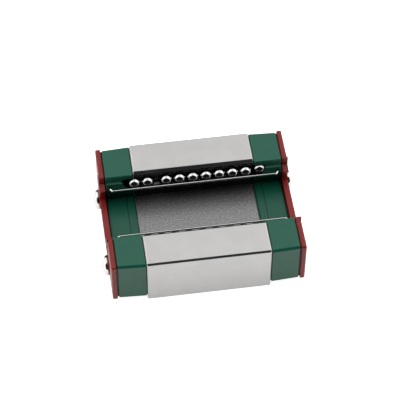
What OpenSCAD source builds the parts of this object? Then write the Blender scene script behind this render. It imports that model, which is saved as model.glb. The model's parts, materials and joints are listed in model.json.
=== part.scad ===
// Runner block of a miniature profile rail guide, turned over on its mounting face
// with the rail channel open upwards. X runs along the rail, +Z is up, and the origin
// is the centre of the mounting face. Sizes are in millimetres.

/* [Steel block] */
// Width across the block
block_w = 27; // [26.8:0.1:27.4]
// Length of the steel between the end caps
block_l = 21.7; // [21.5:0.1:23]
// Height from the mounting face to the tops of the legs
block_h = 10; // [9.9:0.1:10.4]
// Distance between the inner walls of the legs
channel_w = 13.5; // [13.4:0.1:13.6]
// Height of the channel floor above the mounting face
floor_z = 3.9; // [3.7:0.1:4]

/* [Mounting holes] */
// Hole spacing along the rail
mount_x = 15; // [14.8:0.1:15.4]
// Hole spacing across the rail
mount_y = 20; // [19.8:0.1:20.4]
// Radius of the tapped holes
mount_r = 1.25; // [1.2:0.05:1.35]
// Depth of the tapped holes
mount_depth = 3.5; // [2.5:0.1:3.8]

/* [Ball circuits] */
// Ball diameter
ball_d = 2.381; // [2.35:0.001:2.381]
// Distance of the loaded rows from the centre plane
load_y = 6.5; // [6.47:0.01:6.5]
// Height of the rows of balls
ball_z = 7.62; // [7.57:0.01:7.64]
// Distance of the return bores from the centre plane
return_y = 10.3; // [10.3:0.01:10.35]
// Radius of the return bores and turn channels
track_r = 1.3; // [1.27:0.01:1.32]

/* [Retaining wires] */
// Wire diameter
wire_d = 0.36; // [0.3:0.01:0.36]
// Distance of the wires from the centre plane
wire_y = 5.06; // [5:0.01:5.08]
// Height of the wires
wire_z = 7.78; // [7.74:0.01:7.82]
// Place along the rail where the wire ends bend outwards
wire_bend_x = 14.68; // [14.5:0.02:14.8]
// Reach of the bent ends
wire_hook = 0.6; // [0.5:0.05:0.7]

/* [End caps] */
// Distance from the steel to the outer face of an end cap
cap_t = 4.95; // [4.9:0.01:5]
// Width across an end cap, next to the steel
cap_w = 26.9; // [26.8:0.1:27]
// Width across an end cap, next to the seal
cap_end_w = 26.4; // [26.3:0.1:26.6]
// Height of the cap's channel floor
cap_floor_z = 4.2; // [4.1:0.1:4.3]
// Bevel along the outer top edges
cap_bevel = 0.38; // [0.3:0.01:0.5]
// Distance from the steel to the outer face of the turn guide's plate
guide_t = 1.4; // [1.3:0.1:1.5]

/* [End seals] */
// Thickness of a seal's plate
seal_t = 1.03; // [0.95:0.01:1.1]
// Width across a seal
seal_w = 26.8; // [26.7:0.1:26.9]
// How far the wiping lip stands out of the plate
lip_h = 0.1; // [0.05:0.01:0.2]

/* [End cap screws] */
// Distance of the screws from the centre plane
screw_y = 7.4; // [7.35:0.05:7.45]
// Height of the screws
screw_z = 3; // [2.95:0.05:3.05]
// Radius of the pan head
head_r = 1.85; // [1.7:0.05:1.85]
// Height of the pan head
head_h = 1.25; // [1.1:0.05:1.3]
// Length under the head
screw_l = 8; // [7.5:0.5:8.5]

/* [Hidden] */
FIXED = [
    "carriage_body", "end_cap_left", "end_cap_right", "turn_guide_left", "turn_guide_right",
    "end_seal_left", "end_seal_right", "retaining_wire_front", "retaining_wire_back",
    "cap_screw_left_front", "cap_screw_left_back", "cap_screw_right_front", "cap_screw_right_back",
];
// Each circuit of balls: its name, its side of the centre plane and the place of its first ball
CIRCUITS = [["front", -1, -9.718], ["back", 1, -10.7]];
// The stretches of a circuit and how many balls lie in each
STRETCHES = [["load", 9], ["right_turn", 2], ["return", 9], ["left_turn", 2]];
function ball_name(circuit, stretch, i) = str("ball_", circuit[0], "_", stretch[0], "_", i);

$fn = 64;
left = -1;
right = 1;
front = -1;
back = 1;

steel_grey = "#c9c9c6";
bright_steel = "#e4e4e2";
cap_green = "#2f6a52";
guide_green = "#2a5d49";
seal_red = "#8d2f29";

// Edges of the steel: the long top edges, the base, the ends, the legs and the floor
top_chamfer = 0.22;
base_chamfer = 0.15;
foot_chamfer = 0.35;
end_chamfer = 0.22;
leg_chamfer = 0.5;
floor_chamfer = 0.3;
half_l = block_l / 2;
half_channel = channel_w / 2;

// Gothic arch of the ball grooves: two arcs a little larger than the ball
ball_r = ball_d / 2;
groove_r = ball_r + 0.07;
groove_shift = 0.03;

// The end cap, with an open seam where it meets the steel, its turn guide and its seal
seam = 0.05;
cap_z0 = 1;
cap_z1 = 9.8;
cap_x0 = half_l + 2 * seam;
cap_x1 = half_l + cap_t;
cap_edge = 0.12;
leg_wall_y = 6.55;
leg_round = 0.25;
cap_wall_y = 6.25;
tongue_y = 5.45;
tongue_x0 = 12.2;
tongue_z0 = 7.1;
tongue_z1 = 8.42;

// The turn guide: a plate in a pocket of the cap, with a spool in each turn
guide_x1 = half_l + guide_t;
guide_z0 = 1.7;
guide_z1 = 9.2;
bridge_y = 7.5;
upright_y = [7, 12.3];
turn_x = half_l;
turn_r = (return_y - load_y) / 2;
turn_y = (return_y + load_y) / 2;
spool_r = 1.3;
spool_h = 3;

// The end seal, its wiping lip and the groove outside the lip
seal_x0 = cap_x1 + 2 * seam;
seal_x1 = seal_x0 + seal_t;
seal_z0 = 0.85;
seal_z1 = 9.88;
seal_edge = 0.12;
lip_y = 6.6;
lip_w = 0.5;
lip_groove_w = 0.4;
lip_groove_depth = 0.2;

// Angle at which the ends of the retaining wires turn outwards
hook_turn = 55;

// Threads are drawn at their outer radius, with a little air round the screw
screw_r = 1;
tap_r = screw_r + 0.03;
tap_depth = 2.6;
clear_r = 1.05;
dome_r = 2.95;
port_r = 1;
port_z = 2.5;

// Half outlines as y and z, from the outer wall to the channel
steel_outline = [
    [block_w / 2 - base_chamfer, 0],
    [block_w / 2, base_chamfer],
    [block_w / 2, block_h - top_chamfer],
    [block_w / 2 - top_chamfer, block_h],
    [half_channel + leg_chamfer, block_h],
    [half_channel, block_h - leg_chamfer],
    [half_channel, floor_z + floor_chamfer],
    [half_channel - floor_chamfer, floor_z],
];
cap_outline = [
    [cap_w / 2 - 0.15, cap_z0],
    [cap_w / 2, cap_z0 + 0.15],
    [cap_w / 2, cap_z1 - cap_bevel],
    [cap_w / 2 - cap_bevel, cap_z1],
    [leg_wall_y + leg_round, cap_z1],
    [leg_wall_y, cap_z1 - leg_round],
    [leg_wall_y, tongue_z1],
    [tongue_y, 7.88],
    [tongue_y, 7.55],
    [cap_wall_y, tongue_z0],
    [cap_wall_y, cap_floor_z + floor_chamfer],
    [cap_wall_y - floor_chamfer, cap_floor_z],
];
seal_outline = [
    [seal_w / 2 - 0.2, seal_z0],
    [seal_w / 2, seal_z0 + 0.2],
    [seal_w / 2, seal_z1 - 0.4],
    [seal_w / 2 - 0.4, seal_z1],
    [lip_y, seal_z1],
];
// The seal's window follows the rail: its side, its ball groove and its top edge
window_outline = [
    [lip_y, 8.25],
    [6.2, 8.1],
    [5.2, 7.75],
    [5.2, 7.5],
    [6.05, 6.9],
    [6.05, 5.45],
    [5.55, 4.95],
];
lip_outline = [
    [5.8, 4.5],
    [6.55, 5.25],
    [6.55, 7.5],
    [lip_y + lip_w, 8],
];
lip_groove_outline = [
    [6, 4.5 - lip_groove_w],
    [6.55 + lip_groove_w, 5.05],
    [6.55 + lip_groove_w, 7.3],
    [lip_y + lip_w + lip_groove_w, 7.8],
];

// Places of the balls on one circuit. The path runs along the loaded row to the right,
// round the right turn, back through the return bore and round the left turn. The first
// two balls of a loaded row may lie apart from the others.
ball_pitch = ball_d + 0.003;
row_start = -4.95;
row_split = 2;
return_start = 0.4;
right_turn_start = 1.13;
left_turn_start = 0.4;
turn_step = 2 * asin(ball_pitch / 2 / turn_r);
function row_x(first, i) =
    i < row_split ? first + i * ball_pitch : row_start + (i - row_split) * ball_pitch;
// Distance outwards from the turn's centre line and along it, for ball i of a turn
function turn_place(start, i) =
    let (angle = start / turn_r * 180 / PI + i * turn_step)
    [turn_r * sin(angle), turn_r * cos(angle)];
function ball_place(circuit, stretch, i) =
    let (on_right = turn_place(right_turn_start, i), on_left = turn_place(left_turn_start, i))
    stretch == "load" ? [row_x(circuit[2], i), load_y]
    : stretch == "right_turn" ? [turn_x + on_right.x, turn_y - on_right.y]
    : stretch == "return" ? [turn_x - return_start - i * ball_pitch, return_y]
    : [-turn_x - on_left.x, turn_y + on_left.y];

function reversed(points) = [for (i = [len(points) - 1:-1:0]) points[i]];
function both_sides(half) = concat(half, [for (p = reversed(half)) [-p.x, p.y]]);
function chamfered(a0, a1, b0, b1, low, high) = [
    [a0 + low, b0], [a1 - low, b0], [a1, b0 + low], [a1, b1 - high],
    [a1 - high, b1], [a0 + high, b1], [a0, b1 - high], [a0, b0 + low],
];

// Turns a y-z outline into a bar along the rail
module along_x(x0, x1) {
    translate([x0, 0, 0]) rotate([90, 0, 90]) linear_extrude(height = x1 - x0) children();
}

module along_y(width) {
    rotate([90, 0, 0]) linear_extrude(height = width, center = true) children();
}

module along_z(z0, z1) {
    translate([0, 0, z0]) linear_extrude(height = z1 - z0) children();
}

module rod_x(x0, x1, r, y, z) {
    along_x(x0, x1) translate([y, z]) circle(r = r);
}

// A bar of this outline from x0 to x1, w0 wide at x0 and w1 wide at x1, with its outer
// edges at both ends chamfered
module edged_bar(x0, x1, outline, w0, w1, z0, z1, low, high) {
    side = [[x0, w0 / 2 - high], [x0 + high, w0 / 2], [x1 - high, w1 / 2], [x1, w1 / 2 - high]];
    intersection() {
        along_x(x0, x1) polygon(both_sides(outline));
        along_y(w0 + 2) polygon(chamfered(x0, x1, z0, z1, low, high));
        along_z(z0 - 1, z1 + 1)
            polygon(concat(side, reversed([for (p = side) [p.x, -p.y]])));
    }
}

module on_end(end) {
    if (end == left) mirror([1, 0, 0]) children();
    else children();
}

module ball_groove(side) {
    along_x(-half_l - 1, half_l + 1) intersection() {
        for (shift = [-groove_shift, groove_shift])
            translate([side * (load_y - groove_shift), ball_z + shift]) circle(r = groove_r);
    }
}

// Breaks the end edges of the channel floor and of the two inner walls
module channel_end_edges() {
    floor_y = half_channel - floor_chamfer;
    wall_z = floor_z + floor_chamfer;
    inner_x = half_l - end_chamfer;
    past_x = half_l + 1;
    past = 1 + end_chamfer;
    for (end = [left, right]) on_end(end) {
        along_y(2 * floor_y)
            polygon([[inner_x, floor_z], [past_x, floor_z - past], [past_x, floor_z + past]]);
        for (side = [front, back])
            along_z(wall_z, block_h + 1) polygon([
                [inner_x, side * half_channel],
                [past_x, side * (half_channel + past)],
                [past_x, side * (half_channel - past)],
            ]);
    }
}

module carriage_body() {
    color(steel_grey) difference() {
        edged_bar(
            -half_l, half_l, steel_outline, block_w, block_w, 0, block_h,
            foot_chamfer, end_chamfer
        );
        channel_end_edges();
        for (side = [front, back]) {
            ball_groove(side);
            rod_x(-half_l - 1, half_l + 1, track_r, side * return_y, ball_z);
            for (end = [left, right]) {
                translate([end * mount_x / 2, side * mount_y / 2, -1])
                    cylinder(r = mount_r, h = mount_depth + 1);
                on_end(end)
                    rod_x(half_l - tap_depth, half_l + 1, tap_r, side * screw_y, screw_z);
            }
        }
    }
}

// The balls' way round one end: a half ring between the loaded row and the return bore
module turn_channel(side) {
    translate([turn_x, side * turn_y, ball_z]) rotate([0, 0, -90])
        rotate_extrude(angle = 180) translate([turn_r, 0]) circle(r = track_r);
}

module spool(side, grow) {
    translate([turn_x, side * turn_y, ball_z])
        cylinder(r = spool_r + grow, h = spool_h + 2 * grow, center = true);
}

module guide_plate(x0, grow) {
    along_x(x0, guide_x1 + grow) {
        translate([-bridge_y - grow, guide_z0 - grow])
            square([2 * (bridge_y + grow), cap_floor_z - guide_z0 + 2 * grow]);
        for (side = [front, back])
            translate([side * (upright_y[0] + upright_y[1]) / 2, (guide_z0 + guide_z1) / 2])
                square(
                    [upright_y[1] - upright_y[0] + 2 * grow, guide_z1 - guide_z0 + 2 * grow],
                    center = true
                );
    }
}

module cap_screw_holes(x0, x1) {
    for (side = [front, back]) rod_x(x0, x1, clear_r, side * screw_y, screw_z);
}

// An open slot in the cap's tongue that takes the bent end of a retaining wire
module wire_slot(side) {
    slot_w = wire_d + 0.16;
    translate([wire_bend_x, side * wire_y, wire_z - slot_w / 2]) rotate([0, 0, side * hook_turn])
        translate([-0.3, -slot_w / 2, 0]) cube([0.6 + wire_hook, slot_w, 1.2]);
}

// Clears the tongue away where the balls leave the turn
module tongue_mouth(side) {
    reach = cap_wall_y + seam - tongue_y;
    translate([cap_x0 - 1, side * tongue_y - reach, tongue_z0 - seam])
        cube([tongue_x0 - cap_x0 + 1, 2 * reach, tongue_z1 - tongue_z0 + seam]);
}

module end_cap(end) {
    color(cap_green) on_end(end) difference() {
        edged_bar(
            cap_x0, cap_x1, cap_outline, cap_w, cap_end_w, cap_z0, cap_z1, cap_edge, cap_edge
        );
        guide_plate(cap_x0 - 1, seam);
        cap_screw_holes(cap_x0 - 1, cap_x1 + 1);
        rod_x(cap_x0 - 1, cap_x1 + 1, port_r, 0, port_z);
        for (side = [front, back]) {
            turn_channel(side);
            spool(side, seam);
            tongue_mouth(side);
            wire_slot(side);
        }
    }
}

module turn_guide(end) {
    color(guide_green) on_end(end) difference() {
        union() {
            guide_plate(cap_x0, 0);
            for (side = [front, back]) spool(side, 0);
        }
        along_x(cap_x0 - 10, cap_x0)
            translate([-cap_w, -1]) square([2 * cap_w, block_h + 2]);
        cap_screw_holes(cap_x0 - 1, cap_x1);
        for (side = [front, back]) turn_channel(side);
    }
}

// The raised lip round the window, as a band between the lip outline and the window
module lip_band() {
    polygon(both_sides(concat(
        lip_outline, [[lip_y + lip_w, seal_z1], [lip_y, seal_z1]], window_outline
    )));
}

module lip_groove_band() {
    polygon(both_sides(concat(
        lip_groove_outline,
        [[lip_y + lip_w + lip_groove_w, seal_z1 + 1], [lip_y + lip_w, seal_z1 + 1]],
        reversed(lip_outline)
    )));
}

module end_seal(end) {
    color(seal_red) on_end(end) difference() {
        union() {
            edged_bar(
                seal_x0, seal_x1, concat(seal_outline, window_outline),
                seal_w, seal_w, seal_z0, seal_z1, seal_edge, seal_edge
            );
            along_x(seal_x0 + seal_edge, seal_x1 + lip_h) lip_band();
        }
        along_x(seal_x1 - lip_groove_depth, seal_x1 + 1) lip_groove_band();
        cap_screw_holes(seal_x0 - 1, seal_x1 + 1);
        rod_x(seal_x0 - 1, seal_x1 + 1, port_r, 0, port_z);
    }
}

module retaining_wire(side) {
    wire_r = wire_d / 2;
    color(bright_steel) translate([0, side * wire_y, wire_z]) {
        rotate([0, 90, 0]) cylinder(r = wire_r, h = 2 * wire_bend_x, center = true);
        for (end = [left, right]) on_end(end) translate([wire_bend_x, 0, 0]) {
            sphere(r = wire_r);
            rotate([0, 0, side * hook_turn]) rotate([0, 90, 0])
                cylinder(r = wire_r, h = wire_hook);
        }
    }
}

// Pan head with a cross recess, seated on the seal, and a plain round shank
module cap_screw(end, side) {
    recess_w = 0.42;
    recess_l = 1.9;
    recess_d = 0.75;
    color(bright_steel) on_end(end) translate([seal_x1, side * screw_y, screw_z])
        rotate([0, 90, 0]) difference() {
            union() {
                intersection() {
                    cylinder(r = head_r, h = head_h);
                    translate([0, 0, head_h - dome_r]) sphere(r = dome_r);
                }
                translate([0, 0, -screw_l]) cylinder(r = screw_r, h = screw_l + 0.1);
            }
            for (turn = [45, 135]) rotate([0, 0, turn])
                translate([0, 0, head_h - recess_d / 2 + 0.1])
                    cube([recess_l, recess_w, recess_d + 0.2], center = true);
        }
}

module ball(circuit, stretch, i) {
    place = ball_place(circuit, stretch[0], i - 1);
    color(bright_steel) translate([place.x, circuit[1] * place.y, ball_z]) sphere(r = ball_r);
}

carriage_body();
end_cap(left);  // end_cap_left
end_cap(right);  // end_cap_right
turn_guide(left);  // turn_guide_left
turn_guide(right);  // turn_guide_right
end_seal(left);  // end_seal_left
end_seal(right);  // end_seal_right
retaining_wire(front);  // retaining_wire_front
retaining_wire(back);  // retaining_wire_back
cap_screw(left, front);  // cap_screw_left_front
cap_screw(left, back);  // cap_screw_left_back
cap_screw(right, front);  // cap_screw_right_front
cap_screw(right, back);  // cap_screw_right_back
for (c = CIRCUITS) for (s = STRETCHES) for (i = [1:s[1]])
    ball(c, s, i);
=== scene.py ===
"""The carriage of a miniature rail guide, lying on its mounting face with its channel up."""
import json
import math

import bmesh
import bpy
from mathutils import Matrix, Vector


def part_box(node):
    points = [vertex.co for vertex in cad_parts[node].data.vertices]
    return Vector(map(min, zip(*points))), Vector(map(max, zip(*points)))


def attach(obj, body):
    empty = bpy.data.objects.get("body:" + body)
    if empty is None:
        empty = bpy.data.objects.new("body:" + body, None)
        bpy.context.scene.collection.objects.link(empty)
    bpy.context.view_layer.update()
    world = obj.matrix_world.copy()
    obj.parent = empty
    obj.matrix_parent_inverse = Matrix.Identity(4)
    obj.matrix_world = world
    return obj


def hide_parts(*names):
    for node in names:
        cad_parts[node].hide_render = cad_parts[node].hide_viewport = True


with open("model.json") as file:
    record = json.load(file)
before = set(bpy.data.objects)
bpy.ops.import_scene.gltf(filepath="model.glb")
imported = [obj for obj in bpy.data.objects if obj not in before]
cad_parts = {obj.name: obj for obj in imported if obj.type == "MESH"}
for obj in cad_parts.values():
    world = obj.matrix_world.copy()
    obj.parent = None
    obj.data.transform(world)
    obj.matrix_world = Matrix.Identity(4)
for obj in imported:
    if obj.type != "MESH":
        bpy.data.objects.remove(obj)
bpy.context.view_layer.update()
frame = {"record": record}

MM = 0.001
ENDS = {"left": -1, "right": 1}
SIDES = {"front": -1, "back": 1}

# Sizes in millimetres, the same as in the solids where those have the form. The pieces are
# made in millimetres and turned to metres at their end. First the steel block, and the balls
# with the grooves, bores and turns that they run in
HALF_L, HALF_W, BLOCK_H = 10.85, 13.5, 10.0
HALF_CHANNEL, FLOOR_Z = 6.75, 3.9
BALL_D, LOAD_Y, RETURN_Y, BALL_Z = 2.381, 6.5, 10.3, 7.62
GROOVE_R, TRACK_R = 1.26, 1.3
TURN_X, TURN_Y, TURN_R = HALF_L, (RETURN_Y + LOAD_Y) / 2, (RETURN_Y - LOAD_Y) / 2

# The end caps, the turn guides inside them, and the seals on them. The caps' tongues carry
# the wires
CAP_X0, CAP_X1, CAP_Z0, CAP_Z1 = 10.95, 15.8, 1.0, 9.8
CAP_HALF_W, CAP_END_HALF_W = 13.45, 13.2
CAP_FLOOR_Z, CAP_WALL_Y, CAP_LEG_Y, TONGUE_Y, HOOD_Z = 4.2, 6.25, 6.55, 5.45, 8.46
GUIDE_X1, GUIDE_HALF_W, GUIDE_INNER_Y, GUIDE_Z0, GUIDE_Z1 = 12.25, 12.3, 7.0, 1.7, 9.2
SEAL_X0, SEAL_X1, SEAL_HALF_W, SEAL_Z0, SEAL_Z1, LIP_H = 15.9, 16.93, 13.4, 0.85, 9.88, 0.1
PORT_Z, PORT_R = 2.5, 1.0

# The retaining wires, the cap screws with their holes, and the mounting holes, which are as
# wide as their threads
WIRE_D, WIRE_Y, WIRE_Z, BEND_X = 0.36, 5.06, 7.78, 14.68
HOOK, HOOK_TURN, BEND_R = 0.6, math.radians(55), 0.3
SCREW_Y, SCREW_Z, SCREW_R, SCREW_L = 7.4, 3.0, 1.0, 8.0
HEAD_R, HEAD_H, DOME_R = 1.85, 1.25, 2.95
WAY_R, TAP_R, TAP_X = 1.05, 1.03, 8.25
MOUNT_X, MOUNT_Y, MOUNT_DEPTH, THREAD_R, THREAD_PITCH = 7.5, 10.0, 3.5, 1.45, 0.5

# The balls are darkened up to here, a painted shade for the shaded channel that they reflect, which only
# their material shows
PAINTED_SHADE_LOW, PAINTED_SHADE_HIGH = 8.0, 8.3

# Cutters end at these places, clear of the piece that they cut
CLEAR_Y, CLEAR_Z = 14, 12
STEEL_CUT_X, CAP_CUT_X, SEAL_CUT_X = 12, (10, 17), (15, 18)


# Colour and nodes

# The sockets of a Mix node for numbers and for colours
FLOAT_A, FLOAT_B, COLOUR_A, COLOUR_B, COLOUR_OUT = 2, 3, 6, 7, 2
WHITE = (1, 1, 1, 1)


def linear(hex_colour):
    """An sRGB hex colour as the linear colour that the shaders take, with its opacity."""
    channels = [int(hex_colour[i:i + 2], 16) / 255 for i in (1, 3, 5)]
    return [c / 12.92 if c <= 0.04045 else ((c + 0.055) / 1.055) ** 2.4 for c in channels] + [1.0]


def add(tree, kind, inputs=(), **settings):
    """Adds a node. inputs maps a socket's name or number to a value or to the socket it is fed by."""
    made = tree.nodes.new(kind)
    for name, value in settings.items():
        setattr(made, name, value)
    for name, value in dict(inputs).items():
        if isinstance(value, bpy.types.NodeSocket):
            tree.links.new(value, made.inputs[name])
        else:
            made.inputs[name].default_value = value
    return made


# Stage

def look_from(turn, tilt, roll, distance, slide, aim_z):
    """The camera's place: turned and tilted round a point over the origin, in degrees and metres."""
    turn, tilt, roll = (math.radians(a) for a in (turn, tilt, roll))
    back = Vector((math.sin(turn) * math.cos(tilt), -math.cos(turn) * math.cos(tilt), math.sin(tilt)))
    level = Vector((math.cos(turn), math.sin(turn), 0))
    right = Matrix.Rotation(roll, 3, back) @ level
    up = back.cross(right)
    place = back * distance + right * slide[0] + up * slide[1] + Vector((0, 0, aim_z))
    axes = Matrix((right, up, back)).transposed().to_4x4()
    return Matrix.Translation(place) @ axes


def add_camera():
    """A long lens at the photograph's viewing angle."""
    data = bpy.data.cameras.new("camera")
    data.lens = 155.53
    data.clip_start = 0.01
    camera = bpy.data.objects.new("camera", data)
    scene.collection.objects.link(camera)
    camera.matrix_world = look_from(
        turn=-8.325, tilt=51.768, roll=0.307, distance=306.775 * MM,
        slide=(0.235 * MM, 2.533 * MM), aim_z=5 * MM,
    )
    scene.camera = camera


# The studio. Its front is dark from the floor up past the camera, and so are the wall
# straight behind and most of the horizon. The lights on both sides are brighter than the
# ceiling and come down lower the further aside they are, and plain walls stand beyond them.
# The object stands on white paper.
# A dark part has its middle's direction and its inner and outer edge in degrees from there.
# The lights and the walls begin, and are full, where this share of a direction points aside.
# The dark horizon ends between its two heights, which the drop lowers at the sides
DARK_LEVEL, TOP_LEVEL, SIDE_LEVEL, WALL_LEVEL = 0.01, 1.14, 1.9, 1.2
DARK_FRONT, FRONT_INSIDE, FRONT_OUTSIDE = (-0.04, -0.99, 0.13), 64, 75
DARK_BACK, BACK_INSIDE, BACK_OUTSIDE = (0.12, 0.97, 0.21), 21, 31
LIGHTS_BEGIN, LIGHTS_FULL, WALLS_BEGIN, WALLS_FULL = 0.2, 0.4, 0.8, 0.93
HORIZON_LOW, HORIZON_HIGH, LIGHTS_DROP, DROP_POWER = 0.25, 0.5, 0.4, 4.0
PAPER_HALF, PAPER_GREY = 600 * MM, (0.8, 0.8, 0.8, 1)
PAPER_GLOW, MORE_TO_CAMERA, MORE_IN_MIRRORS = 0.38, 0.55, 0.25


def add_world():
    """The studio that lights the object. The camera itself sees plain white in its place."""
    world = bpy.data.worlds.new("studio")
    scene.world = world
    world.use_nodes = True
    tree = world.node_tree
    tree.nodes.clear()
    direction = add(tree, "ShaderNodeTexCoord").outputs["Generated"]
    parts = add(tree, "ShaderNodeSeparateXYZ", {0: direction}).outputs
    aside = add(tree, "ShaderNodeMath", {0: parts["X"]}, operation="ABSOLUTE").outputs[0]
    lights = add(tree, "ShaderNodeMapRange", {
        "Value": aside, "From Min": LIGHTS_BEGIN, "From Max": LIGHTS_FULL,
        "To Min": TOP_LEVEL, "To Max": SIDE_LEVEL,
    }, interpolation_type="SMOOTHSTEP").outputs[0]
    walls = add(tree, "ShaderNodeMapRange", {
        "Value": aside, "From Min": WALLS_BEGIN, "From Max": WALLS_FULL,
    }, interpolation_type="SMOOTHSTEP").outputs[0]
    bright = add(tree, "ShaderNodeMix", {0: walls, FLOAT_A: lights, FLOAT_B: WALL_LEVEL}).outputs[0]
    beside = add(tree, "ShaderNodeMath", {0: aside, 1: DROP_POWER}, operation="POWER").outputs[0]
    lifted = add(tree, "ShaderNodeMath", {0: beside, 1: LIGHTS_DROP, 2: parts["Z"]},
                 operation="MULTIPLY_ADD").outputs[0]
    above = add(tree, "ShaderNodeMapRange", {
        "Value": lifted, "From Min": HORIZON_LOW, "From Max": HORIZON_HIGH,
    }, interpolation_type="SMOOTHSTEP").outputs[0]
    studio = add(tree, "ShaderNodeMix", {0: above, FLOAT_A: DARK_LEVEL, FLOAT_B: bright}).outputs[0]
    for centre, inside, outside in (
        (DARK_FRONT, FRONT_INSIDE, FRONT_OUTSIDE), (DARK_BACK, BACK_INSIDE, BACK_OUTSIDE),
    ):
        towards = add(tree, "ShaderNodeVectorMath", {0: direction, 1: centre}, operation="DOT_PRODUCT")
        shade = add(tree, "ShaderNodeMapRange", {
            "Value": towards.outputs["Value"],
            "From Min": math.cos(math.radians(outside)), "From Max": math.cos(math.radians(inside)),
        }, interpolation_type="SMOOTHSTEP").outputs[0]
        studio = add(tree, "ShaderNodeMix", {0: shade, FLOAT_A: studio, FLOAT_B: DARK_LEVEL}).outputs[0]
    lit = add(tree, "ShaderNodeBackground", {"Color": WHITE, "Strength": studio})
    backdrop = add(tree, "ShaderNodeBackground", {"Color": WHITE, "Strength": 1.0})
    path = add(tree, "ShaderNodeLightPath")
    both = add(tree, "ShaderNodeMixShader", {
        0: path.outputs["Is Camera Ray"], 1: lit.outputs[0], 2: backdrop.outputs[0]})
    add(tree, "ShaderNodeOutputWorld", {"Surface": both.outputs[0]})


def add_floor():
    """Matt paper that keeps the object's shadow and glows, so that it shows white."""
    mesh = bpy.data.meshes.new("floor")
    corners = [(x * PAPER_HALF, y * PAPER_HALF, 0) for x, y in ((-1, -1), (1, -1), (1, 1), (-1, 1))]
    mesh.from_pydata(corners, [], [(0, 1, 2, 3)])
    floor = new_object("floor", mesh)
    material = bpy.data.materials.new("white_paper")
    material.use_nodes = True
    tree = material.node_tree
    tree.nodes.clear()
    path = add(tree, "ShaderNodeLightPath").outputs
    mirrored_rays = add(tree, "ShaderNodeMath", {0: path["Is Glossy Ray"], 1: path["Is Transmission Ray"]},
                        operation="MAXIMUM").outputs[0]
    seen = add(tree, "ShaderNodeMath", {0: path["Is Camera Ray"], 1: MORE_TO_CAMERA, 2: PAPER_GLOW},
               operation="MULTIPLY_ADD").outputs[0]
    glow = add(tree, "ShaderNodeMath", {0: mirrored_rays, 1: MORE_IN_MIRRORS, 2: seen},
               operation="MULTIPLY_ADD").outputs[0]
    paper = add(tree, "ShaderNodeBsdfDiffuse", {"Color": PAPER_GREY})
    light = add(tree, "ShaderNodeEmission", {"Color": WHITE, "Strength": glow})
    total = add(tree, "ShaderNodeAddShader", {0: paper.outputs[0], 1: light.outputs[0]})
    add(tree, "ShaderNodeOutputMaterial", {"Surface": total.outputs[0]})
    mesh.materials.append(material)


def new_object(name, mesh):
    made = bpy.data.objects.new(name, mesh)
    scene.collection.objects.link(made)
    return made


scene = bpy.context.scene
scene.view_settings.view_transform = "Standard"
add_camera()
add_world()
add_floor()


# Materials

def new_material(name, colour, metallic, roughness, **settings):
    """A Principled material with these constants, which the patterns then vary, and the place
    on the object that the patterns take."""
    material = bpy.data.materials.new(name)
    material.use_nodes = True
    tree = material.node_tree
    shader = tree.nodes["Principled BSDF"]
    settings.update({"Base Color": linear(colour), "Metallic": metallic, "Roughness": roughness})
    for label, value in settings.items():
        shader.inputs[label].default_value = value
    return material, tree, shader, add(tree, "ShaderNodeTexCoord").outputs["Object"]


def feed(tree, shader, colour, roughness, normal=None):
    """Feeds the patterns that there are to the shader."""
    for label, source in (("Base Color", colour), ("Roughness", roughness), ("Normal", normal)):
        if source:
            tree.links.new(source.outputs[COLOUR_OUT if label == "Base Color" else 0], shader.inputs[label])


def ground_steel():
    """Hardened stainless steel, surface ground: an even satin grey with faint grinding lines
    along the block, 0.12 mm apart so that they show at all, and soft patches of tone."""
    material, tree, shader, place = new_material("ground_stainless_steel", "#bfbebd", 0.78, 0.3)
    along = add(tree, "ShaderNodeMapping", {"Vector": place, "Scale": (0.05, 1, 1)}).outputs[0]
    lines = add(tree, "ShaderNodeTexNoise", {
        "Vector": along, "Scale": 1 / (0.12 * MM), "Detail": 3.0}).outputs[0]
    patches = add(tree, "ShaderNodeTexNoise", {"Vector": place, "Scale": 1 / (3 * MM)}).outputs[0]
    tone = add(tree, "ShaderNodeMix", {
        0: patches, COLOUR_A: linear("#b9b8b7"), COLOUR_B: linear("#c6c5c3")}, data_type="RGBA")
    satin = add(tree, "ShaderNodeMapRange", {"Value": lines, "To Min": 0.26, "To Max": 0.34})
    relief = add(tree, "ShaderNodeBump", {"Height": lines, "Distance": 0.0003 * MM})
    feed(tree, shader, tone, satin, relief)
    return material


def channel_steel():
    """The milled and blasted channel, left coarser than the ground faces: a dark grey with
    an even grain of about 0.3 mm."""
    material, tree, shader, place = new_material("blasted_stainless_steel", "#868686", 1.0, 0.45)
    grain = add(tree, "ShaderNodeTexNoise", {
        "Vector": place, "Scale": 1 / (0.3 * MM), "Detail": 3.0}).outputs[0]
    clear = add(tree, "ShaderNodeMapRange", {"Value": grain, "From Min": 0.3, "From Max": 0.7}).outputs[0]
    tone = add(tree, "ShaderNodeMix", {
        0: clear, COLOUR_A: linear("#6e6e6e"), COLOUR_B: linear("#9c9c9c")}, data_type="RGBA")
    blasted = add(tree, "ShaderNodeMapRange", {"Value": grain, "To Min": 0.38, "To Max": 0.52})
    relief = add(tree, "ShaderNodeBump", {"Height": grain, "Distance": 0.03 * MM})
    feed(tree, shader, tone, blasted, relief)
    return material


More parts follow.
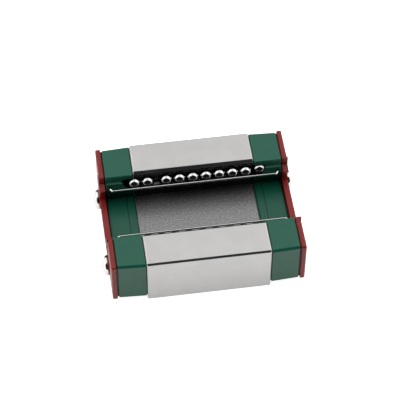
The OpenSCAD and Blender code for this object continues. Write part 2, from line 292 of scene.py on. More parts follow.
def shade_painted_steel(name, dark, light, smoothest, roughest, flat_angle_shade_tint="#ffffff"):
    """Honed steel with a dark colour, a painted shade that keeps it nearly black between the
    lights, with faint lines along it where the balls run. Its last colour tints what it gives back at a flat
    angle; a dark one is painted shade too."""
    material, tree, shader, place = new_material(
        name, dark, 1.0, smoothest, **{"Specular Tint": linear(flat_angle_shade_tint)})
    along = add(tree, "ShaderNodeMapping", {"Vector": place, "Scale": (0.03, 1, 1)}).outputs[0]
    lines = add(tree, "ShaderNodeTexNoise", {"Vector": along, "Scale": 1 / (0.1 * MM)}).outputs[0]
    tone = add(tree, "ShaderNodeMix", {
        0: lines, COLOUR_A: linear(dark), COLOUR_B: linear(light)}, data_type="RGBA")
    honed = add(tree, "ShaderNodeMapRange", {"Value": lines, "To Min": smoothest, "To Max": roughest})
    feed(tree, shader, tone, honed)
    return material


def moulded_plastic(name, dark, light, ior=1.45):
    """Moulded acetal, dyed green: one deep colour, a soft sheen, and the fine eroded texture
    of the mould, drawn at 0.1 mm. Its darker copies are painted shade."""
    material, tree, shader, place = new_material(name, light, 0.0, 0.36, **{"IOR": ior})
    cloud = add(tree, "ShaderNodeTexNoise", {"Vector": place, "Scale": 1 / (2.5 * MM)}).outputs[0]
    eroded = add(tree, "ShaderNodeTexNoise", {
        "Vector": place, "Scale": 1 / (0.1 * MM), "Detail": 3.0}).outputs[0]
    tone = add(tree, "ShaderNodeMix", {
        0: cloud, COLOUR_A: linear(dark), COLOUR_B: linear(light)}, data_type="RGBA")
    sheen = add(tree, "ShaderNodeMapRange", {"Value": eroded, "To Min": 0.28, "To Max": 0.44})
    relief = add(tree, "ShaderNodeBump", {"Height": eroded, "Distance": 0.0015 * MM})
    feed(tree, shader, tone, sheen, relief)
    return material


def seal_rubber():
    """Moulded nitrile rubber, brick red: a saturated colour, darker in patches, with a waxy
    shine that stays low seen from above."""
    material, tree, shader, place = new_material("seal_rubber", "#821b16", 0.0, 0.34, **{"IOR": 1.4})
    cloud = add(tree, "ShaderNodeTexNoise", {"Vector": place, "Scale": 1 / (1.2 * MM)}).outputs[0]
    skin = add(tree, "ShaderNodeTexNoise", {"Vector": place, "Scale": 1 / (0.12 * MM)}).outputs[0]
    tone = add(tree, "ShaderNodeMix", {
        0: cloud, COLOUR_A: linear("#781813"), COLOUR_B: linear("#8b1d17")}, data_type="RGBA")
    wax = add(tree, "ShaderNodeMapRange", {"Value": skin, "To Min": 0.28, "To Max": 0.42})
    relief = add(tree, "ShaderNodeBump", {"Height": skin, "Distance": 0.001 * MM})
    feed(tree, shader, tone, wax, relief)
    return material


def lapped_steel():
    """Lapped bearing balls: mirrors of chrome steel, which gives back a little over half of
    the light, with a trace of oil that dulls them a little. The lower part of every ball is
    painted dark grey, a painted shade for the shaded channel that it reflects."""
    material, tree, shader, place = new_material("lapped_chrome_steel", "#c6c6c6", 1.0, 0.04)
    oil = add(tree, "ShaderNodeTexNoise", {"Vector": place, "Scale": 1 / (0.7 * MM)}).outputs[0]
    tone = add(tree, "ShaderNodeMix", {
        0: oil, COLOUR_A: linear("#c2c2c2"), COLOUR_B: linear("#d0d0d0")}, data_type="RGBA")
    # Painted shade: below these heights every ball turns dark grey
    height = add(tree, "ShaderNodeSeparateXYZ", {0: place}).outputs["Z"]
    above_painted_shade = add(tree, "ShaderNodeMapRange", {
        "Value": height, "From Min": PAINTED_SHADE_LOW * MM, "From Max": PAINTED_SHADE_HIGH * MM,
    }, interpolation_type="SMOOTHSTEP").outputs[0]
    painted_shade_tone = add(tree, "ShaderNodeMix", {
        0: above_painted_shade, COLOUR_A: linear("#2c2c2b"), COLOUR_B: tone.outputs[COLOUR_OUT]}, data_type="RGBA")
    film = add(tree, "ShaderNodeMapRange", {"Value": oil, "To Min": 0.02, "To Max": 0.08})
    feed(tree, shader, painted_shade_tone, film)
    return material


def drawn_wire():
    """Bright drawn stainless wire: draw lines along it spread its highlight."""
    material, tree, shader, place = new_material("drawn_stainless_wire", "#d6d7d5", 1.0, 0.1)
    along = add(tree, "ShaderNodeMapping", {"Vector": place, "Scale": (0.05, 1, 1)}).outputs[0]
    lines = add(tree, "ShaderNodeTexNoise", {"Vector": along, "Scale": 1 / (0.04 * MM)}).outputs[0]
    drawn = add(tree, "ShaderNodeMapRange", {"Value": lines, "To Min": 0.05, "To Max": 0.14})
    relief = add(tree, "ShaderNodeBump", {"Height": lines, "Distance": 0.0003 * MM})
    feed(tree, shader, None, drawn, relief)
    return material


def plated_steel():
    """Nickel-plated machine screws: bright, with small dull patches left by the plating."""
    material, tree, shader, place = new_material("nickel_plated_steel", "#dedddb", 1.0, 0.14)
    patches = add(tree, "ShaderNodeTexNoise", {"Vector": place, "Scale": 1 / (0.4 * MM)}).outputs[0]
    tone = add(tree, "ShaderNodeMix", {
        0: patches, COLOUR_A: linear("#d2d1ce"), COLOUR_B: linear("#e8e7e5")}, data_type="RGBA")
    dull = add(tree, "ShaderNodeMapRange", {"Value": patches, "To Min": 0.08, "To Max": 0.22})
    feed(tree, shader, tone, dull)
    return material


STEEL = [
    ground_steel(), channel_steel(),
    # Painted shade: a dark copy of the steel for the channel walls and grooves
    shade_painted_steel("honed_bearing_steel_painted_shade", "#4a4a4b", "#707071", 0.15, 0.32),
    # Painted shade: a darker copy, dimmed further at flat angles, for the legs' inner edges and the bevels
    # outside
    shade_painted_steel("milled_leg_edges_painted_shade", "#565656", "#868686", 0.34, 0.5, flat_angle_shade_tint="#3a3a3a"),
]
# Painted shade: a darker copy of the green for the channel floor and the turn guide inside
SHADED_INNER_GREEN = moulded_plastic("green_acetal_painted_shade_inner", "#094c3a", "#0b5440", ior=1.4)
CAP_GREENS = [
    moulded_plastic("green_acetal", "#0a543f", "#0c5d48"), SHADED_INNER_GREEN,
    # Painted shade: a darker copy of the green for the walls under the tongues
    moulded_plastic("green_acetal_painted_shade", "#063526", "#083c2d", ior=1.4),
    # Painted shade: nearly black, for the shade in the joints between the parts
    moulded_plastic("green_acetal_painted_shade_in_joints", "#010705", "#020b08", ior=1.3),
]
RED = seal_rubber()
BALL = lapped_steel()
WIRE = drawn_wire()
SCREW = plated_steel()


# Meshes in millimetres. Points closer than this are one

SAME_PLACE = 1e-5


def rounded(corners, steps=4):
    """A closed outline from corners (y, z, radius); each radius becomes an arc."""
    points = []
    for i, (y, z, radius) in enumerate(corners):
        corner = Vector((y, z))
        if not radius:
            points.append(corner)
            continue
        before = (Vector(corners[i - 1][:2]) - corner).normalized()
        after = (Vector(corners[(i + 1) % len(corners)][:2]) - corner).normalized()
        half = before.angle(after) / 2
        centre = corner + (before + after).normalized() * (radius / math.sin(half))
        start = corner + before * (radius / math.tan(half)) - centre
        end = corner + after * (radius / math.tan(half)) - centre
        turn = start.angle_signed(end)
        for k in range(steps + 1):
            points.append(centre + Matrix.Rotation(-turn * k / steps, 2) @ start)
    return points


def arc(y, z, radius, start, end, steps):
    """Corners of no radius along an arc, with its angles in degrees."""
    corners = []
    for k in range(steps + 1):
        angle = math.radians(start + (end - start) * k / steps)
        corners.append((y + radius * math.cos(angle), z + radius * math.sin(angle), 0))
    return corners


def both_sides(half):
    """The corners of one side, and of the other back to the start."""
    return half + [(-y, z, r) for y, z, r in reversed(half)]


def inset(corners, distance, sharpest=0.004):
    """The corners of the outline moved inwards by this distance. It runs anticlockwise."""
    moved = []
    for i, (y, z, radius) in enumerate(corners):
        here = Vector((y, z))
        first = (here - Vector(corners[i - 1][:2])).normalized()
        second = (Vector(corners[(i + 1) % len(corners)][:2]) - here).normalized()
        normals = Vector((-first.y, first.x)), Vector((-second.y, second.x))
        place = here + (normals[0] + normals[1]) * (distance / (1 + normals[0].dot(normals[1])))
        if radius:
            hollow = first.x * second.y < first.y * second.x
            radius = radius + distance if hollow else max(radius - distance, sharpest)
        moved.append((*place, radius))
    return moved


def loft(name, sections, place=lambda x, p: (x, p[0], p[1])):
    """A solid through sections (x, outline), capped at both ends."""
    build = bmesh.new()
    rings = [[build.verts.new(place(x, p)) for p in outline] for x, outline in sections]
    count = len(rings[0])
    for near, far in zip(rings, rings[1:]):
        for i in range(count):
            j = (i + 1) % count
            build.faces.new((near[i], near[j], far[j], far[i]))
    build.faces.new(rings[-1])
    build.faces.new(list(reversed(rings[0])))
    bmesh.ops.remove_doubles(build, verts=build.verts, dist=SAME_PLACE)
    bmesh.ops.dissolve_degenerate(build, edges=build.edges, dist=SAME_PLACE)
    return closed_object(name, build)


def closed_object(name, build):
    """An object of this closed shape, with its faces turned outwards."""
    bmesh.ops.recalc_face_normals(build, faces=build.faces)
    mesh = bpy.data.meshes.new(name)
    build.to_mesh(mesh)
    build.free()
    return new_object(name, mesh)


def bar(name, corners, x0, x1, edge0, edge1, steps=4, **options):
    """A bar along x with this outline and rounded edges at both ends."""
    sections = []
    for x, edge, way in ((x0, edge0, 1), (x1, edge1, -1)):
        rounds = []
        for k in range(steps + 1 if edge else 1):
            angle = math.pi / 2 * (k / steps if edge else 1)
            outline = rounded(inset(corners, edge * (1 - math.sin(angle))))
            rounds.append((x + way * edge * (1 - math.cos(angle)), outline))
        sections += rounds[::way]
    return loft(name, sections, **options)


def slab(name, x0, x1, low, high, edge0, edge1, place, steps=6):
    """A slab past both ends of the piece that it cuts, with its long edges rounded by edge0 at
    x0 and by edge1 at x1."""
    outline = rounded(
        [(x0, low, edge0), (x1, low, edge1), (x1, high, edge1), (x0, high, edge0)], steps)
    return loft(name, [(-CLEAR_Y, outline), (CLEAR_Y, outline)], place=place)


def circle(y, z, radius, count):
    """The points of a circle."""
    return [Vector((y + radius * math.cos(a), z + radius * math.sin(a)))
            for a in (2 * math.pi * k / count for k in range(count))]


def rod(name, x0, x1, y, z, radius, count=48, **options):
    """A round bar along x, or upright with that place."""
    return loft(name, [(x0, circle(y, z, radius, count)), (x1, circle(y, z, radius, count))], **options)


def turned(name, outline, count=48):
    """A solid turned round the x axis from (x, radius) pairs."""
    return loft(name, [(x, circle(0, 0, r, count)) for x, r in outline])


def upright(x, p):
    """Places a loft's sections as layers in height, its outline in x and y."""
    return (p[0], p[1], x)


def across(x, p):
    """Places a loft's sections as layers across the rail, its outline in x and z."""
    return (p[0], x, p[1])


def ring(name, centre, big, small, around=64, section=32):
    """A ring lying flat."""
    build = bmesh.new()
    loops = []
    for i in range(around):
        turn = 2 * math.pi * i / around
        loops.append([])
        for k in range(section):
            angle = 2 * math.pi * k / section
            reach = big + small * math.cos(angle)
            loops[-1].append(build.verts.new((
                centre[0] + reach * math.cos(turn), centre[1] + reach * math.sin(turn),
                centre[2] + small * math.sin(angle))))
    for i, loop in enumerate(loops):
        after = loops[(i + 1) % around]
        for k in range(section):
            m = (k + 1) % section
            build.faces.new((loop[k], after[k], after[m], loop[m]))
    return closed_object(name, build)


def block(name, x, y, z):
    """A plain cutter between two places on each axis."""
    outline = [Vector(p) for p in ((y[0], z[0]), (y[1], z[0]), (y[1], z[1]), (y[0], z[1]))]
    return loft(name, [(x[0], outline), (x[1], outline)])


def made_real(piece):
    """Replaces the piece's mesh by the result of its modifiers, and removes them."""
    graph = bpy.context.evaluated_depsgraph_get()
    mesh = bpy.data.meshes.new_from_object(piece.evaluated_get(graph), depsgraph=graph)
    piece.modifiers.clear()
    old = piece.data
    piece.data = mesh
    bpy.data.meshes.remove(old)


def cut(piece, *cutters, operation="DIFFERENCE"):
    """Cuts the piece with each cutter, or joins or intersects them, and removes the cutters."""
    for cutter in cutters:
        step = piece.modifiers.new("cut", "BOOLEAN")
        step.object = cutter
        step.operation = operation
        step.solver = "EXACT"
        made_real(piece)
        bpy.data.objects.remove(cutter)


def mirrored(piece, name):
    """A copy on the other side of the plane x = 0."""
    mesh = piece.data.copy()
    mesh.transform(Matrix.Scale(-1, 4, (1, 0, 0)))
    mesh.flip_normals()
    return new_object(name, mesh)


def grown(name, points, tree, edges=(), **values):
    """Runs a Geometry Nodes tree on these points and keeps its result as a mesh."""
    mesh = bpy.data.meshes.new(name)
    mesh.from_pydata(points, edges, [])
    piece = new_object(name, mesh)
    step = piece.modifiers.new("grow", "NODES")
    step.node_group = tree
    for socket in tree.interface.items_tree:
        if socket.in_out == "INPUT" and socket.name in values:
            step[socket.identifier] = values[socket.name]
    made_real(piece)
    return piece


def new_tree(name, inputs):
    """A Geometry Nodes tree with these named inputs after its geometry."""
    tree = bpy.data.node_groups.new(name, "GeometryNodeTree")
    for label, kind in {"Geometry": "Geometry", **inputs}.items():
        tree.interface.new_socket(label, in_out="INPUT", socket_type="NodeSocket" + kind)
    tree.interface.new_socket("Geometry", in_out="OUTPUT", socket_type="NodeSocketGeometry")
    return tree, add(tree, "NodeGroupInput").outputs


def end_tree(tree, geometry, material):
    """Ends a tree with real, smooth geometry of this material."""
    real = add(tree, "GeometryNodeRealizeInstances", {0: geometry}).outputs[0]
    smooth = add(tree, "GeometryNodeSetShadeSmooth", {0: real}).outputs[0]
    dressed = add(tree, "GeometryNodeSetMaterial", {"Geometry": smooth, "Material": material}).outputs[0]
    add(tree, "NodeGroupOutput", {0: dressed})


def healed(mesh, near=0.004, sliver=0.002):
    """Merges doubled points, closes hair-thin slits left by a cut and turns faces outwards."""
    build = bmesh.new()
    build.from_mesh(mesh)
    bmesh.ops.remove_doubles(build, verts=build.verts, dist=near)
    bmesh.ops.dissolve_degenerate(build, edges=build.edges, dist=sliver)
    slits = [edge for edge in build.edges if len(edge.link_faces) == 1]
    bmesh.ops.holes_fill(build, edges=slits, sides=0)
    bmesh.ops.recalc_face_normals(build, faces=build.faces)
    build.to_mesh(mesh)
    build.free()


# Edges that turn by more than this stay sharp
SHARP = math.radians(35)


def finished(piece, body, slot, *replaced, materials=(), slot_of=None):
    """Smooths the piece, turns it to metres and ties it to the frame. slot_of picks one of the
    materials for each face. A grown piece has its material already."""
    mesh = piece.data
    healed(mesh)
    for material in materials:
        mesh.materials.append(material)
    if slot_of:
        for face in mesh.polygons:
            face.material_index = slot_of(face)
    mesh.transform(Matrix.Scale(MM, 4))
    mesh.shade_smooth()
    mesh.set_sharp_from_angle(angle=SHARP)
    weighted = piece.modifiers.new("normals", "WEIGHTED_NORMAL")
    weighted.keep_sharp = True
    made_real(piece)
    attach(piece, body)
    if replaced:
        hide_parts(*replaced)


# The steel block

# Bevels of the legs' outer and inner top edges and of the channel floor, and the roundings
# of the ends and of the corners on the ground
OUTER_BEVEL, INNER_BEVEL, FLOOR_BEVEL, END_ROUND, FOOT_ROUND = 0.3, 0.5, 0.3, 0.3, 0.5


def steel_slot(face):
    """0 where the steel is ground, 1 on the coarse channel floor, 2 on the walls and grooves and
    3 on the inner edges of the legs and the bevels outside; 2 and 3 are painted dark as painted shade."""
    slack = 0.02
    y, z, lean = abs(face.center.y), face.center.z, face.normal.z
    at_end, faces_up = abs(face.normal.x) > 0.3, lean > 0.95
    if y > HALF_W - OUTER_BEVEL - slack and lean > 0.15 and not faces_up and not at_end:
        return 3
    if at_end or z < FLOOR_Z - slack or y > LOAD_Y + GROOVE_R:
        return 0
    if faces_up:
        return 0 if y > HALF_CHANNEL + slack else 1
    return 3 if z > BLOCK_H - INNER_BEVEL - 0.1 and lean > 0.1 else 2


def make_steel():
    """The block with a ball groove and a return bore in each leg, and its eight screw holes."""
    soft, heel, countersink = 0.05, 0.15, 0.4
    opening = math.degrees(math.acos((HALF_CHANNEL - LOAD_Y) / GROOVE_R))
    half = [
        (HALF_W, 0, heel), (HALF_W, BLOCK_H - OUTER_BEVEL, soft), (HALF_W - OUTER_BEVEL, BLOCK_H, soft),
        (HALF_CHANNEL + INNER_BEVEL, BLOCK_H, soft), (HALF_CHANNEL, BLOCK_H - INNER_BEVEL, soft),
        *arc(LOAD_Y, BALL_Z, GROOVE_R, opening, -opening, 20),
        (HALF_CHANNEL, FLOOR_Z + FLOOR_BEVEL, soft), (HALF_CHANNEL - FLOOR_BEVEL, FLOOR_Z, soft),
    ]
    steel = bar("steel_block", both_sides(half), -HALF_L, HALF_L, END_ROUND, END_ROUND)
    cut(steel, slab("feet", -HALF_L, HALF_L, 0, CLEAR_Z, FOOT_ROUND, FOOT_ROUND, across),
        operation="INTERSECT")
    for side in SIDES.values():
        cut(steel, rod("bore", -STEEL_CUT_X, STEEL_CUT_X, side * RETURN_Y, BALL_Z, TRACK_R))
        for end in ENDS.values():
            cut(steel, rod("tap", end * TAP_X, end * STEEL_CUT_X, side * SCREW_Y, SCREW_Z, TAP_R, 32))
            mouth, bore = circle(0, 0, THREAD_R + countersink, 40), circle(0, 0, THREAD_R, 40)
            hole = loft("hole", [(-1, mouth), (0, mouth), (countersink, bore), (MOUNT_DEPTH, bore)],
                        place=upright)
            hole.data.transform(Matrix.Translation((end * MOUNT_X, side * MOUNT_Y, 0)))
            cut(steel, hole)
    return steel


# The end caps and their inner turn guides. The core that the balls turn round is part of the
# guide and fits into the cap. The ribs in the joints are painted nearly black, a painted shade that shows as
# dark lines

CORE_R, CORE_HALF_H, CORE_FIT = 1.3, 1.5, 0.05


def make_cap():
    """The right end cap. A tongue on each leg holds the wire under a hood."""
    bevel, soft, heel, leg_round, outside_band = 0.36, 0.1, 0.15, 0.26, 1.2
    half = [
        (CAP_HALF_W, CAP_Z0, heel), (CAP_HALF_W, CAP_Z1 - bevel, soft),
        (CAP_HALF_W - bevel, CAP_Z1, soft), (CAP_LEG_Y, CAP_Z1, leg_round), (CAP_LEG_Y, HOOD_Z, 0),
        (6.12, HOOD_Z - 0.1, 0.06), (TONGUE_Y, 7.78, 0.08), (TONGUE_Y, 7.5, 0.08),
        (CAP_WALL_Y, 7.1, soft), (CAP_WALL_Y, CAP_FLOOR_Z, 0.3),
    ]

    def tapered(x, p):
        """The outer sides draw in towards the seal."""
        lean = max(0, min(1, (x - CAP_X0) / (CAP_X1 - CAP_X0)))
        is_outside = abs(p[0]) > CAP_END_HALF_W - outside_band
        return (x, p[0] * (1 + (CAP_END_HALF_W / CAP_HALF_W - 1) * lean if is_outside else 1), p[1])

    steel_edge, seal_edge = 0.1, 0.16
    cap = bar("end_cap", both_sides(half), CAP_X0, CAP_X1, steel_edge, seal_edge, place=tapered)

    # The ribs that reach towards the steel and the seal, sunk below the cap's outside
    to_steel, to_seal, buried = 0.09, 0.19, 0.5
    sunk, sunk_edge, rib_wall, rib_low = 0.16, 0.42, 0.4, 0.2
    for x0, x1, half_w in (
        (CAP_X0 - to_steel, CAP_X0 + buried, CAP_HALF_W),
        (CAP_X1 - buried, CAP_X1 + to_seal, CAP_END_HALF_W),
    ):
        rib = [
            (half_w - sunk, CAP_Z0 + rib_low, soft), (half_w - sunk, CAP_Z1 - sunk_edge, soft),
            (half_w - sunk_edge, CAP_Z1 - sunk, soft), (CAP_LEG_Y + rib_wall, CAP_Z1 - sunk, soft),
            (CAP_LEG_Y + rib_wall, CAP_FLOOR_Z - rib_low, soft),
        ]
        cut(cap, bar("rib", both_sides(rib), x0, x1, 0, 0), operation="UNION")

    # Room for the turn guide with its balls, for the wires' hooks and for the screws
    seam, bridge_y, bridge_top, upright_foot = 0.07, GUIDE_INNER_Y + 0.5, 4.6, 1.6
    mouth_x, mouth_y, mouth_z = 12.2, (4.6, 6.3), (7.05, 8.48)
    hook_from, hook_to, hook_half_w, hook_above = -0.3, 0.9, WIRE_D / 2 + 0.08, 1.0
    near, far = CAP_CUT_X
    room = (near, GUIDE_X1 + seam)
    cut(cap, block("bridge", room, (-bridge_y - seam, bridge_y + seam), (GUIDE_Z0 - seam, bridge_top)))
    for side in SIDES.values():
        across_leg = sorted((side * (GUIDE_INNER_Y - seam), side * (GUIDE_HALF_W + seam)))
        cut(cap, block("upright", room, across_leg, (upright_foot, GUIDE_Z1 + seam)))
        cut(cap, ring("turn", (TURN_X, side * TURN_Y, BALL_Z), TURN_R, TRACK_R))
        low, high = BALL_Z - CORE_HALF_H - CORE_FIT, BALL_Z + CORE_HALF_H + CORE_FIT
        cut(cap, rod("core", low, high, TURN_X, side * TURN_Y, CORE_R + CORE_FIT, 40, place=upright))
        cut(cap, block("mouth", (near, mouth_x), sorted(side * y for y in mouth_y), mouth_z))
        notch = block("notch", (hook_from, hook_to), (-hook_half_w, hook_half_w), (-hook_half_w, hook_above))
        notch.data.transform(Matrix.Translation((BEND_X, side * WIRE_Y, WIRE_Z))
                             @ Matrix.Rotation(side * HOOK_TURN, 4, "Z"))
        cut(cap, notch)
        cut(cap, rod("screw_way", near, far, side * SCREW_Y, SCREW_Z, WAY_R, 32))
    cut(cap, rod("port", near, far, 0, PORT_Z, PORT_R, 32))
    return cap


def cap_slot(face):
    """0 outside, 1 on the floor of the channel, a little darker as painted shade, 2 on its
    walls, darker as painted shade, and 3 on the ribs in the joints, nearly black as painted shade."""
    hair, slack = 0.001, 0.05
    x, y, z = abs(face.center.x), abs(face.center.y), face.center.z
    if not CAP_X0 - hair <= x <= CAP_X1 + hair:
        return 3
    inside = CAP_WALL_Y + slack
    if y < inside and z < CAP_FLOOR_Z + slack and face.normal.z > 0.7:
        return 1
    is_side = face.normal.z < 0.9 and abs(face.normal.x) < 0.9
    return 2 if TONGUE_Y - 0.15 < y < inside and z < HOOD_Z - 0.16 and is_side else 0


def make_guide():
    """The right turn guide, a bridge under the channel between two uprights with their cores."""
    soft, buried, rib_reach, rib_inset, core_joint = 0.1, 0.45, 0.085, 0.15, 0.02
    outline = both_sides([
        (GUIDE_HALF_W, GUIDE_Z0, soft), (GUIDE_HALF_W, GUIDE_Z1, soft), (GUIDE_INNER_Y, GUIDE_Z1, soft),
        (GUIDE_INNER_Y, CAP_FLOOR_Z, soft),
    ])
    guide = bar("turn_guide", outline, CAP_X0, GUIDE_X1, 0.06, 0.03)
    rib = bar("rib", inset(outline, rib_inset), CAP_X0 - rib_reach, CAP_X0 + buried, 0, 0)
    cut(guide, rib, operation="UNION")
    near, far = CAP_CUT_X
    for side in SIDES.values():
        core = rod("core", BALL_Z - CORE_HALF_H, BALL_Z + CORE_HALF_H, TURN_X, side * TURN_Y, CORE_R, 40,
                   place=upright)
        cut(core, block("inside", (5, CAP_X0 + core_joint), (-CLEAR_Y, CLEAR_Y), (0, CLEAR_Z)))
        cut(guide, core, operation="UNION")
        cut(guide, ring("turn", (TURN_X, side * TURN_Y, BALL_Z), TURN_R, TRACK_R))
        cut(guide, rod("screw_way", near, far, side * SCREW_Y, SCREW_Z, WAY_R, 32))
    return guide


# The end seals

def make_seal():
    """The plate starts 0.1 mm further out than the solid, which leaves a joint wide enough to
    see, and its raised lip follows the window for the rail."""
    inner, slanted, inner_round, outer_round = SEAL_X0 + 0.1, 0.42, 0.3, 0.36
    window = [
        (6.6, 8.25, 0), (6.2, 8.1, 0.1), (5.2, 7.75, 0.08), (5.2, 7.5, 0.08), (6.05, 6.9, 0.1),
        (6.05, 5.45, 0.1), (5.55, 4.95, 0.1),
    ]
    half = [(SEAL_HALF_W, SEAL_Z0, 0.3), (SEAL_HALF_W, SEAL_Z1, slanted), (6.6, SEAL_Z1, 0.12)] + window
    seal = bar("end_seal", both_sides(half), inner, SEAL_X1, 0.03, 0.05, steps=2)
    for name, low, high, place in (
        ("heights", SEAL_Z0, SEAL_Z1, across), ("widths", -SEAL_HALF_W, SEAL_HALF_W, upright),
    ):
        cut(seal, slab(name, inner, SEAL_X1, low, high, inner_round, outer_round, place),
            operation="INTERSECT")
    groove = [
        (6.0, 4.1, 0), (6.95, 5.05, 0), (6.95, 7.3, 0), (7.5, 7.8, 0), (7.5, CLEAR_Z, 0),
        (7.1, CLEAR_Z, 0), (7.1, 8.0, 0), (6.55, 7.5, 0), (6.55, 5.25, 0), (5.8, 4.5, 0),
    ]
    near, far = SEAL_CUT_X
    cut(seal, loft("groove", [(x, rounded(both_sides(groove))) for x in (SEAL_X1 - 0.2, far)]))
    raised = [
        (5.8, 4.5, 0.05), (6.55, 5.25, 0.1), (6.55, 7.5, 0.1), (7.1, 8.0, 0), (7.1, SEAL_Z1, 0.05),
        (6.6, SEAL_Z1, 0.05),
    ] + window
    lip = bar("lip", inset(both_sides(raised), 0.012), SEAL_X1 - 0.5, SEAL_X1 + LIP_H, 0, 0.04)
    cut(seal, lip, operation="UNION")
    for side in SIDES.values():
        cut(seal, rod("screw_way", near, far, side * SCREW_Y, SCREW_Z, WAY_R, 32))
    cut(seal, rod("port", near, far, 0, PORT_Z, PORT_R, 32))
    return seal


# What repeats: balls, wires, screws and threads

def make_balls(body, nodes):
    """A row of balls on the places of its nodes."""
    tree, given = new_tree("ball_row", {"Radius": "Float"})
    sphere = add(tree, "GeometryNodeMeshUVSphere", {"Segments": 40, "Rings": 20, "Radius": given["Radius"]})
    row = add(tree, "GeometryNodeInstanceOnPoints", {
        "Points": given["Geometry"], "Instance": sphere.outputs[0]})
    end_tree(tree, row.outputs[0], BALL)
    places = [[(low + high) / 2 / MM for low, high in zip(*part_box(node))] for node in nodes]
    balls = grown(body + "_dressed", places, tree, Radius=BALL_D / 2)
    finished(balls, body, "ball_steel", *nodes)


def make_wire(circuit, side):
    """A wire along the row of balls, bent outwards at both ends."""
    tree, given = new_tree("bent_wire", {"Thickness": "Float", "Bend": "Float"})
    path = add(tree, "GeometryNodeMeshToCurve", {0: given["Geometry"]}).outputs[0]
    bent = add(tree, "GeometryNodeFilletCurve", {"Curve": path, "Count": 8, "Radius": given["Bend"]},
               mode="POLY")
    radius = add(tree, "ShaderNodeMath", {0: given["Thickness"], 1: 0.5}, operation="MULTIPLY").outputs[0]
    round_wire = add(tree, "GeometryNodeCurvePrimitiveCircle", {"Resolution": 20, "Radius": radius})
    wire = add(tree, "GeometryNodeCurveToMesh", {
        "Curve": bent.outputs[0], "Profile Curve": round_wire.outputs[0], "Fill Caps": True})
    end_tree(tree, wire.outputs[0], WIRE)
    tip_x, tip_y = BEND_X + HOOK * math.cos(HOOK_TURN), WIRE_Y + HOOK * math.sin(HOOK_TURN)
    places = [(x, side * y, WIRE_Z) for x, y in (
        (-tip_x, tip_y), (-BEND_X, WIRE_Y), (BEND_X, WIRE_Y), (tip_x, tip_y))]
    name = "retaining_wire_" + circuit
    wire = grown(name + "_dressed", places, tree, edges=[(0, 1), (1, 2), (2, 3)],
                 Thickness=WIRE_D, Bend=BEND_R)
    finished(wire, "carriage", "wire_steel", name)


def cross(width, length):
    """The two bars of a cross recess, as outlines. The cross stands on the slant."""
    x, y = length / 2, width / 2
    corners = [Vector(c) for c in ((x, -y), (x, y), (-x, y), (-x, -y))]
    return [[Matrix.Rotation(math.radians(turn), 2) @ c for c in corners] for turn in (45, 135)]


def make_screws():
    """The four pan head screws of the end caps."""
    tip_r, point, rim_r, collar_r, recess = 0.8, 0.25, 1.72, 1.8, 0.8
    top = HEAD_H - DOME_R
    dome = [(top + math.sqrt(DOME_R ** 2 - r ** 2), r) for r in (rim_r, 1.5, 1.2, 0.9, 0.6, 0.3, 0.1)]
    screw = turned("screw", [
        (-SCREW_L, tip_r), (-SCREW_L + point, SCREW_R), (0, SCREW_R), (0, rim_r), (0.1, 1.82),
        (0.2, HEAD_R), (0.5, HEAD_R), (0.62, collar_r)] + dome)
    narrow_bars, wide_bars = cross(0.3, 0.9), cross(0.5, 2.1)
    for deep, wide in zip(narrow_bars, wide_bars):
        cut(screw, loft("recess", [(HEAD_H - recess, deep), (HEAD_H + 0.1, wide)]))
    tree, given = new_tree("screws_at_ends", {"Screw": "Object"})
    here = add(tree, "GeometryNodeInputPosition").outputs[0]
    along = add(tree, "ShaderNodeSeparateXYZ", {0: here}).outputs["X"]
    on_left = add(tree, "ShaderNodeMath", {0: along, 1: 0.0}, operation="LESS_THAN").outputs[0]
    half_turn = add(tree, "ShaderNodeMath", {0: on_left, 1: math.pi}, operation="MULTIPLY").outputs[0]
    euler = add(tree, "ShaderNodeCombineXYZ", {"Z": half_turn}).outputs[0]
    turn = add(tree, "FunctionNodeEulerToRotation", {0: euler}).outputs[0]
    shape = add(tree, "GeometryNodeObjectInfo", {"Object": given["Screw"]}).outputs["Geometry"]
    four = add(tree, "GeometryNodeInstanceOnPoints", {
        "Points": given["Geometry"], "Instance": shape, "Rotation": turn})
    end_tree(tree, four.outputs[0], SCREW)
    places, nodes = [], []
    for end_name, end in ENDS.items():
        for circuit, side in SIDES.items():
            places.append((end * SEAL_X1, side * SCREW_Y, SCREW_Z))
            nodes.append(f"cap_screw_{end_name}_{circuit}")
    screws = grown("cap_screws_dressed", places, tree, Screw=screw)
    bpy.data.objects.remove(screw)
    finished(screws, "carriage", "plated_screw", *nodes)


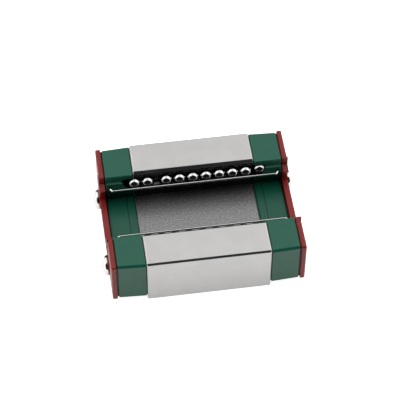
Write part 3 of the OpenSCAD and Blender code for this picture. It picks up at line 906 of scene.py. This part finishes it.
def make_threads():
    """The threads of the four mounting holes: a ridge that winds up each bore."""
    start_z, turns, ridge_share = 0.32, 5.8, 0.44
    tree, given = new_tree("wound_threads", {"Radius": "Float", "Pitch": "Float", "Turns": "Float"})
    rise = add(tree, "ShaderNodeMath", {
        0: given["Pitch"], 1: given["Turns"]}, operation="MULTIPLY").outputs[0]
    ridge = add(tree, "ShaderNodeMath", {0: given["Pitch"], 1: ridge_share}, operation="MULTIPLY").outputs[0]
    helix = add(tree, "GeometryNodeCurveSpiral", {
        "Resolution": 32, "Rotations": given["Turns"], "Start Radius": given["Radius"],
        "End Radius": given["Radius"], "Height": rise})
    edge = add(tree, "GeometryNodeCurvePrimitiveCircle", {"Resolution": 4, "Radius": ridge})
    wound = add(tree, "GeometryNodeCurveToMesh", {
        "Curve": helix.outputs[0], "Profile Curve": edge.outputs[0], "Fill Caps": True})
    four = add(tree, "GeometryNodeInstanceOnPoints", {
        "Points": given["Geometry"], "Instance": wound.outputs[0]})
    end_tree(tree, four.outputs[0], STEEL[0])
    places = [(end * MOUNT_X, side * MOUNT_Y, start_z) for end in ENDS.values() for side in SIDES.values()]
    threads = grown("mounting_threads", places, tree, Radius=THREAD_R, Pitch=THREAD_PITCH, Turns=turns)
    finished(threads, "carriage", "ground_steel")


finished(make_steel(), "carriage", "ground_steel", "carriage_body", materials=STEEL, slot_of=steel_slot)
for kind, make, materials, slot, slot_of in (
    ("end_cap", make_cap, CAP_GREENS, "green_plastic", cap_slot),
    ("turn_guide", make_guide, [SHADED_INNER_GREEN], "green_plastic_inner", None),
    ("end_seal", make_seal, [RED], "red_seal", None),
):
    right = make()
    right.name = kind + "_right_dressed"
    left = mirrored(right, kind + "_left_dressed")
    finished(right, "carriage", slot, kind + "_right", materials=materials, slot_of=slot_of)
    finished(left, "carriage", slot, kind + "_left", materials=materials, slot_of=slot_of)
for body, nodes in frame["record"]["behaviour"]["bodies"].items():
    if body.endswith("_balls"):
        make_balls(body, nodes)
for circuit, side in SIDES.items():
    make_wire(circuit, side)
make_screws()
make_threads()
